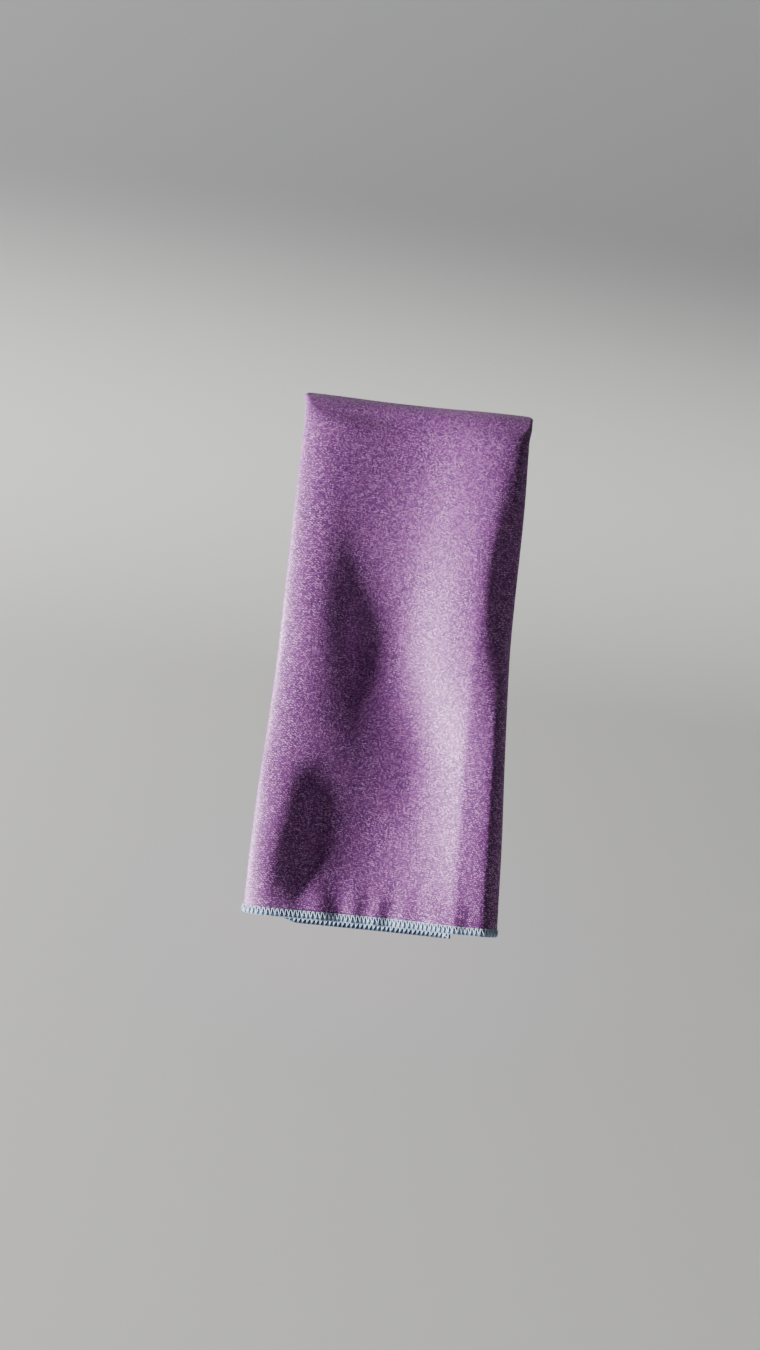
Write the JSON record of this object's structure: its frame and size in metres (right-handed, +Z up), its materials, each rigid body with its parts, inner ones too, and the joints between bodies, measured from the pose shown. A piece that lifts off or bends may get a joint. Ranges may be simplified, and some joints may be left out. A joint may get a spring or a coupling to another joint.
{
  "type": "quick dry towel",
  "caption": "Small quick-dry towel, letter-folded lengthwise into a strip and draped over a rail, with an overlocked edge.",
  "frame": {"origin": "middle of the rail seat: the flat underside of the innermost layer at the top of the bend", "axes": "+Z up, +X across the folded strip to the viewer's right, -Y towards the front panel"},
  "size_m": [0.1026, 0.1572, 0.1852],
  "materials": {
    "cloth": "satin twill microfibre with a soft sheen",
    "overlock": "textured polyester overlock thread",
    "needle_thread": "fine spun polyester sewing thread"
  },
  "bodies": {
    "root": {"towel_cloth": "cloth", "overlock_front_end": "overlock", "overlock_back_end": "overlock", "overlock_left_flap": "overlock", "overlock_right_flap": "overlock", "needle_thread_front_end": "needle_thread", "needle_thread_back_end": "needle_thread", "needle_thread_left_flap": "needle_thread", "needle_thread_right_flap": "needle_thread"}
  },
  "joints": []
}
